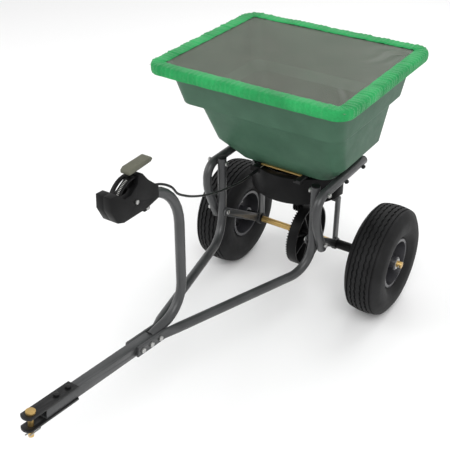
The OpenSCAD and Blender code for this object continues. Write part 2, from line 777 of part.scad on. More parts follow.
// --- Control cable: its route is a smooth curve through hand-set points ---
cable_r = 3;
cable_pts = [
    [0, -700, 485], [0, -682, 480], [0, -662, 471], [-1, -641, 458], [-3, -619, 440],
    [-7, -596, 413], [-14, -560, 388], [-22, -520, 364], [-32, -470, 338], [-41, -420, 315],
    [-48, -370, 296], [-53, -320, 281], [-56, -275, 270], [-56, -235, 264], [-56, -195, 262.7]
];
cable_steps = 3;
cable_sides = 8;
function spline(a, b, c, d, t) =
    0.5 * (2 * b + (c - a) * t + (2 * a - 5 * b + 4 * c - d) * t * t + (3 * b - a - 3 * c + d) * t * t * t);
function route(p) =
    let(n = len(p))
    concat([for (i = [0:n - 2], k = [0:cable_steps - 1])
        spline(p[max(i - 1, 0)], p[i], p[i + 1], p[min(i + 2, n - 1)], k / cable_steps)], [p[n - 1]]);
module cord(p, r) {
    n = len(p);
    m = cable_sides;
    pts = [for (i = [0:n - 1])
        let(u = i == 0 || i == n - 1 ? [0, 1, 0] : unit(p[i + 1] - p[i - 1]),
            a = unit(cross(u, [1, 0, 0])), b = cross(u, a))
        for (k = [0:m - 1]) p[i] + r * (cos(360 * k / m) * a + sin(360 * k / m) * b)];
    polyhedron(
        points = pts,
        faces = concat(
            [[for (k = [m - 1:-1:0]) k]],
            [for (i = [0:n - 2], k = [0:m - 1])
                [i * m + k, i * m + (k + 1) % m, (i + 1) * m + (k + 1) % m, (i + 1) * m + k]],
            [[for (k = [0:m - 1]) (n - 1) * m + k]]
        ),
        convexity = 8
    );
}
module control_cable() color(BLACK) place() cord(route(cable_pts), cable_r);

// --- Axle and gears ---
module axle_rod() color(ZINC) place()
    rotate([0, 90, 0]) translate([0, 0, axle_end[1]])
        difference() {
            cylinder(r = axle_r, h = axle_end[0] - axle_end[1]);
            for (x = concat(retainer_x, [gear_pin_x, drive_pin_x]))
                translate([0, 0, x - axle_end[1]]) rotate([90, 0, 0])
                    cylinder(d = pin_d, h = 3 * axle_d, center = true);
        }
pin_d = 5;
pin_slip = 0.1;
crown_r = gear_module * crown_teeth / 2;
pinion_r = gear_module * pinion_teeth / 2;
tooth_rise = 0.8 * gear_module;
tooth_root = gear_module;
crown_face = pinion_r + tooth_rise + 0.4;
crown_out = crown_r + 12;
crown_in = crown_r - 9;
crown_hub_r = axle_r + 9;
crown_hub_len = 26;
gear_pin_x = crown_face + crown_t + crown_hub_len / 2;
drive_pin_x = wheel_x[1] + hub_half - 10;
retainer_x = [axle_end[0] - 6, axle_end[1] + 6];

crown_pitch = 360 / crown_teeth;
module crown_gear() color(BLACK) place()
    difference() {
        union() {
            along_x([crown_face, 0, 0]) {
                difference() {
                    cylinder(r = crown_out, h = crown_t);
                    translate([0, 0, 5]) cylinder(r = crown_out - 5, h = crown_t);
                }
                cylinder(r = crown_hub_r, h = crown_t + crown_hub_len);
                for (k = [0:7])
                    rotate([0, 0, 45 * k + 22.5])
                        translate([crown_hub_r - 2, -2, 2]) cube([crown_out - crown_hub_r - 1, 4, crown_t - 8]);
            }
            for (k = [0:crown_teeth - 1])
                rotate([crown_pitch * (k + 0.5), 0, 0])
                    translate([crown_face - tooth_root - tooth_rise + 0.8, -crown_tooth / 2, crown_in])
                        cube([tooth_root + tooth_rise, crown_tooth, crown_out - crown_in - 1]);
        }
        rotate([0, 90, 0]) cylinder(r = axle_r + running, h = 400, center = true);
        translate([gear_pin_x, 0, 0]) rotate([90, 0, 0]) cylinder(d = pin_d + 2 * pin_slip, h = 90, center = true);
    }
crown_tooth = 2.4;

module drive_pins() color(BRIGHT) place() {
    for (p = [[gear_pin_x, crown_hub_r + 3], [drive_pin_x, hub_r + 3]])
        translate([p[0], 0, 0]) rotate([90, 0, 0]) cylinder(d = pin_d - pin_slip, h = 2 * p[1], center = true);
}

pinion_h = 16;
pinion_mid = crown_r;
pinion_tooth = 2.4;
pinion_hub = 18;
module pinion() color(BLACK) place()
    translate([0, 0, pinion_mid - pinion_h / 2])
        difference() {
            union() {
                cylinder(r = pinion_r - tooth_root, h = pinion_h + pinion_hub);
                for (k = [0:pinion_teeth - 1])
                    rotate([0, 0, 360 / pinion_teeth * k])
                        linear_extrude(height = pinion_h)
                            polygon([
                                [pinion_r - tooth_root - 1, -pinion_tooth / 2 - 0.4],
                                [pinion_r + tooth_rise, -pinion_tooth / 2 + 0.5],
                                [pinion_r + tooth_rise, pinion_tooth / 2 - 0.5],
                                [pinion_r - tooth_root - 1, pinion_tooth / 2 + 0.4]
                            ]);
            }
            translate([0, 0, -1]) cylinder(r = shaft_d / 2 + running, h = pinion_h + pinion_hub + 2);
        }

shaft_bottom = pinion_mid - pinion_h / 2 - 6;
shaft_top = floor_h + 34;
module disc_shaft() color(ZINC) place()
    translate([0, 0, shaft_bottom]) cylinder(d = shaft_d, h = shaft_top - shaft_bottom);

disc_t = 4;
vane_h = 32;
disc_hub_r = shaft_d / 2 + 10;
module spinning_disc() color(BLACK) place()
    translate([0, 0, disc_h])
        difference() {
            union() {
                cylinder(r = disc_r, h = disc_t);
                translate([0, 0, -10]) cylinder(r = disc_hub_r, h = vane_h + 14);
                for (k = [0:vane_count - 1])
                    rotate([0, 0, 360 / vane_count * k])
                        translate([disc_hub_r - 2, -1.5, disc_t - 1]) cube([disc_r - disc_hub_r - 2, 3, vane_h]);
            }
            translate([0, 0, -11]) cylinder(r = shaft_d / 2 + running, h = vane_h + 20);
        }

agitator_r = 48;
agitator_z = floor_h + 22;
module agitator() color(BRIGHT) place()
    difference() {
        union() {
            rod([-agitator_r, 0, agitator_z], [agitator_r, 0, agitator_z], 3);
            translate([0, 0, agitator_z - 8]) cylinder(r = shaft_d / 2 + 4, h = 16);
            for (s = [-1, 1])
                rod([s * agitator_r, 0, agitator_z + 3], [s * agitator_r, 0, agitator_z - 12], 3);
        }
        translate([0, 0, agitator_z - 9]) cylinder(r = shaft_d / 2 + running, h = 18);
    }

// --- Wheels: s = 0 is the left wheel, which turns freely, and s = 1 the driving one ---
wheel_groove = 4;
section_mid = tyre_r - 47;
section_r = tyre_w / 2;
crown_arc = 150;
module tyre_section(inset) {
    intersection() {
        translate([section_mid, 0]) circle(r = section_r - inset);
        translate([tyre_r - crown_arc, 0]) circle(r = crown_arc - inset, $fn = 128);
        translate([inset > 0 ? 0 : rim_r - 5, -tyre_w]) square([2 * tyre_r, 2 * tyre_w]);
    }
}
module tyre(s) color(RUBBER) place()
    along_x([wheel_x[s], 0, 0])
        rotate_extrude($fn = 96)
            difference() {
                tyre_section(0);
                tyre_section(tyre_wall);
                for (y = [-24, -8, 8, 24])
                    translate([tyre_r - wheel_groove, y - 2]) square([10, 4]);
            }
module left_tyre() tyre(0);
module right_tyre() tyre(1);

bead_half = sqrt(pow(section_r, 2) - pow(section_mid - rim_r, 2));
flange_x = bead_half + 0.5;
barrel_r = rim_r - 5.3;
hub_r = 20;
rim_bolt_pcd = 62;
rim_bolt_d = 6;
module rim_half(s, outward) color(BLACK) place()
    translate([wheel_x[s], 0, 0]) rotate([0, side(s) * outward * 90, 0])
        difference() {
            rotate_extrude()
                polygon([
                    [rim_r, flange_x + rim_t],
                    [rim_r, flange_x],
                    [barrel_r, flange_x],
                    [barrel_r, running],
                    [hub_r + running, running],
                    [hub_r + running, rim_t],
                    [barrel_r - rim_t, rim_t],
                    [barrel_r - rim_t, flange_x + rim_t]
                ]);
            for (k = [0:3])
                rotate([0, 0, 90 * k + 45]) translate([rim_bolt_pcd / 2, 0, 0])
                    cylinder(d = rim_bolt_d + 0.6, h = 3 * rim_t, center = true);
            translate([-outward * valve_r, 0, 0]) cylinder(r = valve_hole_r, h = 3 * rim_t, center = true);
        }
valve_r = 54;
valve_hole_r = 5;
module left_outer_rim() rim_half(0, 1);
module left_inner_rim() rim_half(0, -1);
module right_outer_rim() rim_half(1, 1);
module right_inner_rim() rim_half(1, -1);

hub_flange_t = 4;
module hub(s) color(BLACK) place()
    translate([wheel_x[s], 0, 0]) rotate([0, side(s) * 90, 0])
        difference() {
            union() {
                translate([0, 0, -hub_half]) cylinder(r = hub_r, h = 2 * hub_half);
                translate([0, 0, rim_t + fit]) cylinder(r = rim_bolt_pcd / 2 + 9, h = hub_flange_t);
            }
            translate([0, 0, -hub_half - 1]) cylinder(r = axle_r + running, h = 2 * hub_half + 2);
            for (k = [0:3])
                rotate([0, 0, 90 * k + 45]) translate([rim_bolt_pcd / 2, 0, 0])
                    cylinder(d = rim_bolt_d + 0.6, h = 30, center = true);
            if (s == 1)
                translate([0, 0, -(drive_pin_x - wheel_x[1])]) rotate([90, 0, 0])
                    cylinder(d = pin_d + 2 * pin_slip, h = 3 * hub_r, center = true);
        }
module left_hub() hub(0);
module right_hub() hub(1);

module rim_bolts(s) color(BRIGHT) place()
    translate([wheel_x[s], 0, 0]) rotate([0, side(s) * 90, 0])
        for (k = [0:3])
            rotate([0, 0, 90 * k + 45])
                translate([rim_bolt_pcd / 2, 0, rim_t + hub_flange_t + 2 * fit]) rotate([180, 0, 0])
                    bolt(2 * rim_t + hub_flange_t + 3 * fit, rim_bolt_d, 10, 4);
module left_rim_bolts() rim_bolts(0);
module right_rim_bolts() rim_bolts(1);

module valve(s) color(RUBBER) place()
    translate([wheel_x[s], 0, 0]) rotate([0, side(s) * 90, 0])
        translate([-valve_r, 0, 0]) {
            translate([0, 0, -rim_t - 6]) cylinder(r = valve_hole_r - running, h = rim_t + 14);
            translate([0, 0, 8 - eps]) cylinder(r = 4, h = 18);
            translate([0, 0, 26 - 2 * eps]) cylinder(r = 3, h = 8);
        }
module left_valve() valve(0);
module right_valve() valve(1);

bush_end = leg_in + 2 * strap_t + fit + 1;
spacer_r = axle_r + 4.5;
module axle_spacers() color(BLACK) place()
    for (s = [0, 1])
        along_x([side(s) * (bush_end + fit), 0, 0], side(s))
            difference() {
                cylinder(r = spacer_r, h = side(s) * wheel_x[s] - hub_half - bush_end - 2 * fit);
                translate([0, 0, -1]) cylinder(r = axle_r + running, h = track);
            }

module axle_retainers() color(BRIGHT) place()
    for (s = [0, 1]) {
        along_x([wheel_x[s] + side(s) * (hub_half + fit), 0, 0], side(s))
            difference() {
                cylinder(r = axle_r + 7, h = 2.5);
                translate([0, 0, -1]) cylinder(r = axle_r + running, h = 5);
            }
        translate([retainer_x[s], 0, 0]) rotate([90, 0, 0])
            cylinder(d = pin_d - pin_slip - 1, h = axle_d + 12, center = true);
    }

// --- Cover: an elastic band that hugs the lip, with a thin sheet stretched inside it ---
sheet_t = 1.6;
sheet_z = lip_z + fit;
band_top = sheet_z + sheet_t;
band_in = 34;
function lip_level(z, grow) = [z, lip_x + grow, lip_front - grow, lip_back + grow];
module cover_sheet() color(SHEET) place()
    loft([lip_level(sheet_z, -1), lip_level(band_top - eps, -1)], corner_r);

module cover_band() color(BAND) place()
    ringed([
        lip_level(band_top, fit),
        lip_level(lip_z - band_h + band_t, fit),
        lip_level(lip_z - band_h + band_t, band_t - 1),
        lip_level(lip_z - band_h / 2, band_t),
        lip_level(band_top + band_t - 2, band_t),
        lip_level(band_top + band_t, 0),
        lip_level(band_top + band_t, -band_in),
        lip_level(band_top, -band_in)
    ], corner_r);

tow_bar();
left_side_tube();
right_side_tube();
left_hopper_rail();
right_hopper_rail();
tube_caps();
control_post();
frame_bolts();
left_axle_arm();
right_axle_arm();
gear_bracket();
left_axle_bush();
right_axle_bush();
lower_shaft_bush();
upper_shaft_bush();
hopper();
hopper_bolts();
gate_guides();
cable_anchor();
deflector();
upper_hitch_strap();
lower_hitch_strap();
hitch_bolts();
left_control_shell();
right_control_shell();
rate_scale();
post_clamp();
clamp_screw();
lever_pivot();
control_cable();
axle_rod();
crown_gear();
drive_pins();
axle_spacers();
axle_retainers();
right_tyre();
right_outer_rim();
right_inner_rim();
right_hub();
right_rim_bolts();
right_valve();
left_tyre();
left_outer_rim();
left_inner_rim();
left_hub();
left_rim_bolts();
left_valve();
disc_shaft();
spinning_disc();
pinion();
agitator();
gate_plate();
gate_wire();
rate_lever();
lever_grip();
cover_band();
cover_sheet();
hitch_pin();
hairpin();
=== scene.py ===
"""Looks of a tow-behind broadcast spreader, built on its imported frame.

Each sub-assembly is a class that makes its meshes and dresses them in a finish. Lengths are
in metres in the machine's own frame: +Z is up and the hitch points along -Y.
"""

import json
import logging
import math
from dataclasses import dataclass
from enum import Enum
from typing import Iterable, Sequence

import bmesh
import bpy
from mathutils import Matrix, Vector, noise

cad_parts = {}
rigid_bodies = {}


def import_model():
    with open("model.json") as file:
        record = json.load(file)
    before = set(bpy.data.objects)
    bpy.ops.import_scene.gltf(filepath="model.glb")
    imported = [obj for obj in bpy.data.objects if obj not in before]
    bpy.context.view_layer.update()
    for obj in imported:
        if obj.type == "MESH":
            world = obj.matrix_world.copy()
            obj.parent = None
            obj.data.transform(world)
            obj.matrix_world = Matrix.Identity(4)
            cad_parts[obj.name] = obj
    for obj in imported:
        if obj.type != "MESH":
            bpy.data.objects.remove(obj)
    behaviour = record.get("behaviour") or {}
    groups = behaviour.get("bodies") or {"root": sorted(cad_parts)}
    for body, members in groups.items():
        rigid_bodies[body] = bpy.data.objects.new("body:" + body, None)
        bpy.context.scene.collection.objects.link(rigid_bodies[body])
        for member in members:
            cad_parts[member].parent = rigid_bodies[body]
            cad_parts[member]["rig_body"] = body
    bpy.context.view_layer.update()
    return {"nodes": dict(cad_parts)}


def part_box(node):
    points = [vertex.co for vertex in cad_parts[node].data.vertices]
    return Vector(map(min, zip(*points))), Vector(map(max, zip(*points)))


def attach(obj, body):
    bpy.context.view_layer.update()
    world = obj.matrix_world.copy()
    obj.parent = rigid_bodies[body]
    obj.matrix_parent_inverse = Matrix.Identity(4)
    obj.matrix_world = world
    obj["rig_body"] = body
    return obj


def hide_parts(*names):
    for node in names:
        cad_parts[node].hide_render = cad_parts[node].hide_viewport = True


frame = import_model()

logging.basicConfig(level=logging.INFO, format="%(message)s")
log = logging.getLogger("spreader")

MM = 0.001
Point = tuple[float, float, float]
Colour = tuple[float, float, float]


def srgb(red: int, green: int, blue: int) -> Colour:
    """Turns a colour as seen, from 0 to 255, into the linear colour a shader takes.

    Args:
        red: The red share.
        green: The green share.
        blue: The blue share.

    Returns:
        The three linear shares, from 0 to 1.
    """
    shares = [value / 255 for value in (red, green, blue)]
    return tuple(s / 12.92 if s < 0.04045 else ((s + 0.055) / 1.055) ** 2.4 for s in shares)


class Grain(Enum):
    """How a surface's fine relief runs."""

    POWDER_COAT = "powder coat"
    MOULDED = "moulded plastic"
    RUBBER = "rubber"
    PLATED = "plated metal"
    WOVEN = "woven cloth"


@dataclass(frozen=True)
class Finish:
    """One finish of the machine, with its colour, gloss and relief."""

    name: str
    colour: Colour
    grain: Grain
    roughness: float = 0.5
    metallic: float = 0.0
    coat: float = 0.0
    sheen: float = 0.0
    alpha: float = 1.0
    size: float = 500.0
    depth: float = 0.0002
    spread: float = 0.25
    dust: float = 0.0
    shine: float = 0.5

    def material(self) -> bpy.types.Material:
        """Builds the finish's material once, and finds it again later.

        Returns:
            The node material of this finish.
        """
        title = self.name + "_finish"
        found = bpy.data.materials.get(title)
        if found:
            return found
        made = bpy.data.materials.new(title)
        made.use_nodes = True
        nodes, links = made.node_tree.nodes, made.node_tree.links
        nodes.clear()
        out = nodes.new("ShaderNodeOutputMaterial")
        skin = nodes.new("ShaderNodeBsdfPrincipled")
        links.new(skin.outputs["BSDF"], out.inputs["Surface"])
        skin.inputs["Metallic"].default_value = self.metallic
        skin.inputs["Coat Weight"].default_value = self.coat
        skin.inputs["Specular IOR Level"].default_value = self.shine
        skin.inputs["Coat Roughness"].default_value = 0.25
        skin.inputs["Sheen Weight"].default_value = self.sheen
        skin.inputs["Sheen Roughness"].default_value = 0.4
        skin.inputs["Alpha"].default_value = self.alpha
        place = nodes.new("ShaderNodeTexCoord").outputs["Object"]
        links.new(self._tone(nodes, links, place), skin.inputs["Base Color"])
        links.new(self._gloss(nodes, links, place), skin.inputs["Roughness"])
        links.new(self._relief(nodes, links, place), skin.inputs["Normal"])
        return made

    def _cloud(
        self, nodes: bpy.types.Nodes, links: bpy.types.NodeLinks, place: bpy.types.NodeSocket, scale: float
    ) -> bpy.types.NodeSocket:
        """Makes a soft cloud pattern.

        Args:
            nodes: The material's nodes.
            links: The material's links.
            place: Where on the object each point is.
            scale: How many clouds go into a metre.

        Returns:
            The pattern's value, from 0 to 1.
        """
        cloud = nodes.new("ShaderNodeTexNoise")
        cloud.inputs["Scale"].default_value = scale
        cloud.inputs["Detail"].default_value = 5.0
        links.new(place, cloud.inputs["Vector"])
        return cloud.outputs["Fac"]

    def _tone(
        self, nodes: bpy.types.Nodes, links: bpy.types.NodeLinks, place: bpy.types.NodeSocket
    ) -> bpy.types.NodeSocket:
        """Makes the colour, which drifts over broad patches and darkens in a fine fleck.

        Args:
            nodes: The material's nodes.
            links: The material's links.
            place: Where on the object each point is.

        Returns:
            The colour socket.
        """
        ramp = nodes.new("ShaderNodeValToRGB")
        low = tuple(c * (1 - self.spread) for c in self.colour)
        high = tuple(min(1.0, c * (1 + self.spread) + 0.004 + self.dust) for c in self.colour)
        ramp.color_ramp.elements[0].position = 0.3
        ramp.color_ramp.elements[0].color = (*low, 1)
        ramp.color_ramp.elements[1].position = 0.72
        ramp.color_ramp.elements[1].color = (*high, 1)
        links.new(self._cloud(nodes, links, place, 14.0), ramp.inputs["Fac"])
        fleck = nodes.new("ShaderNodeValToRGB")
        fleck.color_ramp.elements[0].position = 0.35
        fleck.color_ramp.elements[0].color = (0.8, 0.8, 0.8, 1)
        fleck.color_ramp.elements[1].position = 0.6
        links.new(self._cloud(nodes, links, place, self.size * 0.5), fleck.inputs["Fac"])
        mix = nodes.new("ShaderNodeMix")
        mix.data_type = "RGBA"
        mix.blend_type = "MULTIPLY"
        mix.inputs["Factor"].default_value = 0.6
        links.new(ramp.outputs["Color"], mix.inputs["A"])
        links.new(fleck.outputs["Color"], mix.inputs["B"])
        return mix.outputs["Result"]

    def _gloss(
        self, nodes: bpy.types.Nodes, links: bpy.types.NodeLinks, place: bpy.types.NodeSocket
    ) -> bpy.types.NodeSocket:
        """Makes the roughness, which is a little worn in patches.

        Args:
            nodes: The material's nodes.
            links: The material's links.
            place: Where on the object each point is.

        Returns:
            The roughness socket.
        """
        span = nodes.new("ShaderNodeMapRange")
        span.inputs["To Min"].default_value = max(0.05, self.roughness - 0.1)
        span.inputs["To Max"].default_value = min(1.0, self.roughness + 0.12)
        links.new(self._cloud(nodes, links, place, 38.0), span.inputs["Value"])
        return span.outputs["Result"]

    def _relief(
        self, nodes: bpy.types.Nodes, links: bpy.types.NodeLinks, place: bpy.types.NodeSocket
    ) -> bpy.types.NodeSocket:
        """Makes the fine relief of the grain.

        Args:
            nodes: The material's nodes.
            links: The material's links.
            place: Where on the object each point is.

        Returns:
            The normal socket.
        """
        bump = nodes.new("ShaderNodeBump")
        bump.inputs["Strength"].default_value = 0.6
        bump.inputs["Distance"].default_value = self.depth
        if self.grain is Grain.WOVEN:
            height = self._weave(nodes, links, place)
        elif self.grain is Grain.MOULDED:
            cells = nodes.new("ShaderNodeTexVoronoi")
            cells.inputs["Scale"].default_value = self.size
            links.new(place, cells.inputs["Vector"])
            height = cells.outputs["Distance"]
        else:
            height = self._cloud(nodes, links, place, self.size)
        links.new(height, bump.inputs["Height"])
        return bump.outputs["Normal"]

    def _weave(
        self, nodes: bpy.types.Nodes, links: bpy.types.NodeLinks, place: bpy.types.NodeSocket
    ) -> bpy.types.NodeSocket:
        """Makes two sets of crossing threads.

        Args:
            nodes: The material's nodes.
            links: The material's links.
            place: Where on the object each point is.

        Returns:
            The height socket.
        """
        sets = []
        for axis in ("X", "Y"):
            thread = nodes.new("ShaderNodeTexWave")
            thread.bands_direction = axis
            thread.inputs["Scale"].default_value = self.size
            thread.inputs["Distortion"].default_value = 0.4
            links.new(place, thread.inputs["Vector"])
            sets.append(thread.outputs["Fac"])
        cross = nodes.new("ShaderNodeMath")
        cross.operation = "MAXIMUM"
        links.new(sets[0], cross.inputs[0])
        links.new(sets[1], cross.inputs[1])
        return cross.outputs["Value"]


FRAME_PAINT = Finish(
    "frame_powder_coat", srgb(52, 53, 54), Grain.POWDER_COAT,
    0.38, 0.0, 0.15, size=900, depth=0.00015,
)
STRAP_PAINT = Finish(
    "strap_black_paint", srgb(16, 16, 17), Grain.POWDER_COAT,
    0.42, 0.0, 0.1, size=800, depth=0.00015, shine=0.25,
)
HOPPER_GREEN = Finish(
    "hopper_green", srgb(66, 100, 80), Grain.MOULDED,
    0.48, size=1400, depth=0.00006, spread=0.1, shine=0.12,
)
BAND_GREEN = Finish(
    "band_green", srgb(40, 152, 84), Grain.WOVEN,
    0.75, sheen=0.15, size=420, depth=0.0004, spread=0.22, shine=0.15,
)
NET_GREY = Finish(
    "cover_net", srgb(158, 155, 146), Grain.PLATED,
    0.3, alpha=0.17, size=900, depth=0.00003, spread=0.08,
)
BLACK_PLASTIC = Finish(
    "black_plastic", srgb(10, 10, 11), Grain.MOULDED,
    0.42, size=1300, depth=0.0001, shine=0.14,
)
GEAR_PLASTIC = Finish(
    "gear_black", srgb(10, 10, 11), Grain.MOULDED,
    0.4, size=900, depth=0.0001, shine=0.14,
)
GRIP_GREY = Finish(
    "grip_grey", srgb(96, 96, 84), Grain.MOULDED,
    0.55, size=700, depth=0.0002, shine=0.15,
)
TYRE_RUBBER = Finish(
    "tyre_rubber", srgb(20, 20, 21), Grain.RUBBER,
    0.62, size=350, depth=0.0003, dust=0.002, shine=0.2,
)
RIM_PAINT = Finish(
    "rim_paint", srgb(48, 48, 52), Grain.POWDER_COAT,
    0.32, 0.0, 0.3, size=700, depth=0.0001,
)
BRIGHT_ZINC = Finish(
    "bright_zinc", srgb(178, 178, 176), Grain.PLATED,
    0.34, 0.9, size=500, depth=0.00008, spread=0.12,
)
YELLOW_ZINC = Finish(
    "yellow_zinc", srgb(205, 172, 108), Grain.PLATED,
    0.36, 0.85, size=400, depth=0.00008, spread=0.18,
)
CABLE_BLACK = Finish(
    "cable_black", srgb(16, 16, 16), Grain.RUBBER,
    0.45, size=900, depth=0.0001, shine=0.35,
)
TICK_WHITE = Finish("tick_white", srgb(190, 190, 186), Grain.MOULDED, 0.6, size=900, depth=0.00005)


def own_mesh(
    name: str, vertices: Sequence[Sequence[float]], faces: Sequence[Sequence[int]]
) -> bpy.types.Object:
    """Makes a mesh object from its points and faces.

    Args:
        name: The piece's name.
        vertices: The points.
        faces: The faces, as lists of point numbers.

    Returns:
        The linked object, with its faces turned outward.
    """
    data = bpy.data.meshes.new(name)
    data.from_pydata([tuple(v) for v in vertices], [], [tuple(f) for f in faces])
    work = bmesh.new()
    work.from_mesh(data)
    bmesh.ops.recalc_face_normals(work, faces=work.faces)
    work.to_mesh(data)
    work.free()
    piece = bpy.data.objects.new(name, data)
    bpy.context.scene.collection.objects.link(piece)
    return piece


def smooth(piece: bpy.types.Object, degrees: float = 32.0) -> bpy.types.Object:
    """Shades a piece smoothly, apart from its edges sharper than an angle.

    Args:
        piece: The piece.
        degrees: The sharpest angle that still looks round.

    Returns:
        The same piece.
    """
    piece.data.shade_smooth()
    piece.data.set_sharp_from_angle(angle=math.radians(degrees))
    return piece


def bake(piece: bpy.types.Object) -> bpy.types.Object:
    """Applies every modifier of a piece to its mesh, and returns the piece."""
    graph = bpy.context.evaluated_depsgraph_get()
    done = bpy.data.meshes.new_from_object(piece.evaluated_get(graph))
    piece.modifiers.clear()
    piece.data = done
    return piece


def finish_piece(
    piece: bpy.types.Object, body: str, finish: Finish, nodes: Iterable[str] = ()
) -> bpy.types.Object:
    """Dresses a piece, and ties it to the body it moves with.

    Args:
        piece: The piece.
        body: The name of the body it rides on.
        finish: Its finish.
        nodes: The frame's nodes that the piece stands for.

    Returns:
        The same piece.
    """
    piece.data.materials.clear()
    piece.data.materials.append(finish.material())
    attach(piece, body)
    if nodes:
        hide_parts(*nodes)
    log.info("%s: %d faces", piece.name, len(piece.data.polygons))
    return piece


@dataclass
class Softened:
    """A frame node made again with its sharp edges broken, as pressed or moulded parts have."""

    node: str
    finish: Finish
    radius: float = 0.0008
    angle: float = 35.0
    steps: int = 2
    shading: float = 35.0

    def build(self) -> bpy.types.Object:
        """Copies the node, merges its seams, rounds its edges and dresses it."""
        source = frame["nodes"][self.node]
        work = bmesh.new()
        work.from_mesh(source.data)
        bmesh.ops.remove_doubles(work, verts=work.verts, dist=0.00002)
        bmesh.ops.dissolve_limit(
            work, angle_limit=math.radians(0.4), verts=work.verts, edges=work.edges
        )
        data = bpy.data.meshes.new(self.node + "_finished")
        work.to_mesh(data)
        work.free()
        data.materials.clear()
        piece = bpy.data.objects.new(self.node + "_finished", data)
        bpy.context.scene.collection.objects.link(piece)
        if self.radius:
            rounded = piece.modifiers.new("rounded", "BEVEL")
            rounded.width = self.radius
            rounded.segments = self.steps
            rounded.limit_method = "ANGLE"
            rounded.angle_limit = math.radians(self.angle)
            rounded.use_clamp_overlap = True
            bake(piece)
        smooth(piece, self.shading)
        return finish_piece(piece, source["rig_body"], self.finish, [self.node])


@dataclass
class Stage:
    """The floor, the lights and the camera."""

    eye: Point = (1.021, -1.5024, 1.578)
    aim: Point = (-0.210, 0.3626, 0.186)
    lens: float = 68.6

    def build(self) -> None:
        """Sets up the camera first, then the lights and the floor."""
        self._camera()
        self._lights()
        self._floor()

    def _camera(self) -> None:
        """Places the camera."""
        data = bpy.data.cameras.new("camera")
        data.lens = self.lens
        data.clip_end = 50
        camera = bpy.data.objects.new("camera", data)
        bpy.context.scene.collection.objects.link(camera)
        camera.location = self.eye
        way = Vector(self.aim) - Vector(self.eye)
        camera.rotation_euler = way.to_track_quat("-Z", "Y").to_euler()
        bpy.context.scene.camera = camera

    def _lights(self) -> None:
        """Places three large soft lights and a white surround."""
        for name, place, power, size in (
            ("key", (1.6, -1.6, 3.0), 58.0, 2.2),
            ("fill", (-2.6, -1.4, 2.2), 42.0, 2.6),
            ("rear", (0.2, 2.8, 2.6), 40.0, 2.4),
        ):
            data = bpy.data.lights.new(name, "AREA")
            data.energy = power
            data.size = size
            light = bpy.data.objects.new(name, data)
            bpy.context.scene.collection.objects.link(light)
            light.location = place
            light.rotation_euler = (Vector((0, 0, 0.3)) - Vector(place)).to_track_quat("-Z", "Y").to_euler()
        world = bpy.data.worlds.new("surround")
        world.use_nodes = True
        back = world.node_tree.nodes["Background"]
        back.inputs["Color"].default_value = (1.0, 1.0, 1.0, 1)
        back.inputs["Strength"].default_value = 0.75
        bpy.context.scene.world = world
        bpy.context.scene.view_settings.view_transform = "Standard"

    def _floor(self) -> None:
        """Lays a wide pale floor."""
        reach = 9.0
        corners = [(-reach, -reach, 0), (reach, -reach, 0), (reach, reach, 0), (-reach, reach, 0)]
        floor = own_mesh("floor", corners, [(0, 1, 2, 3)])
        pale = bpy.data.materials.new("floor_pale")
        pale.use_nodes = True
        skin = pale.node_tree.nodes["Principled BSDF"]
        skin.inputs["Base Color"].default_value = (0.9, 0.9, 0.9, 1)
        skin.inputs["Roughness"].default_value = 0.9
        floor.data.materials.append(pale)


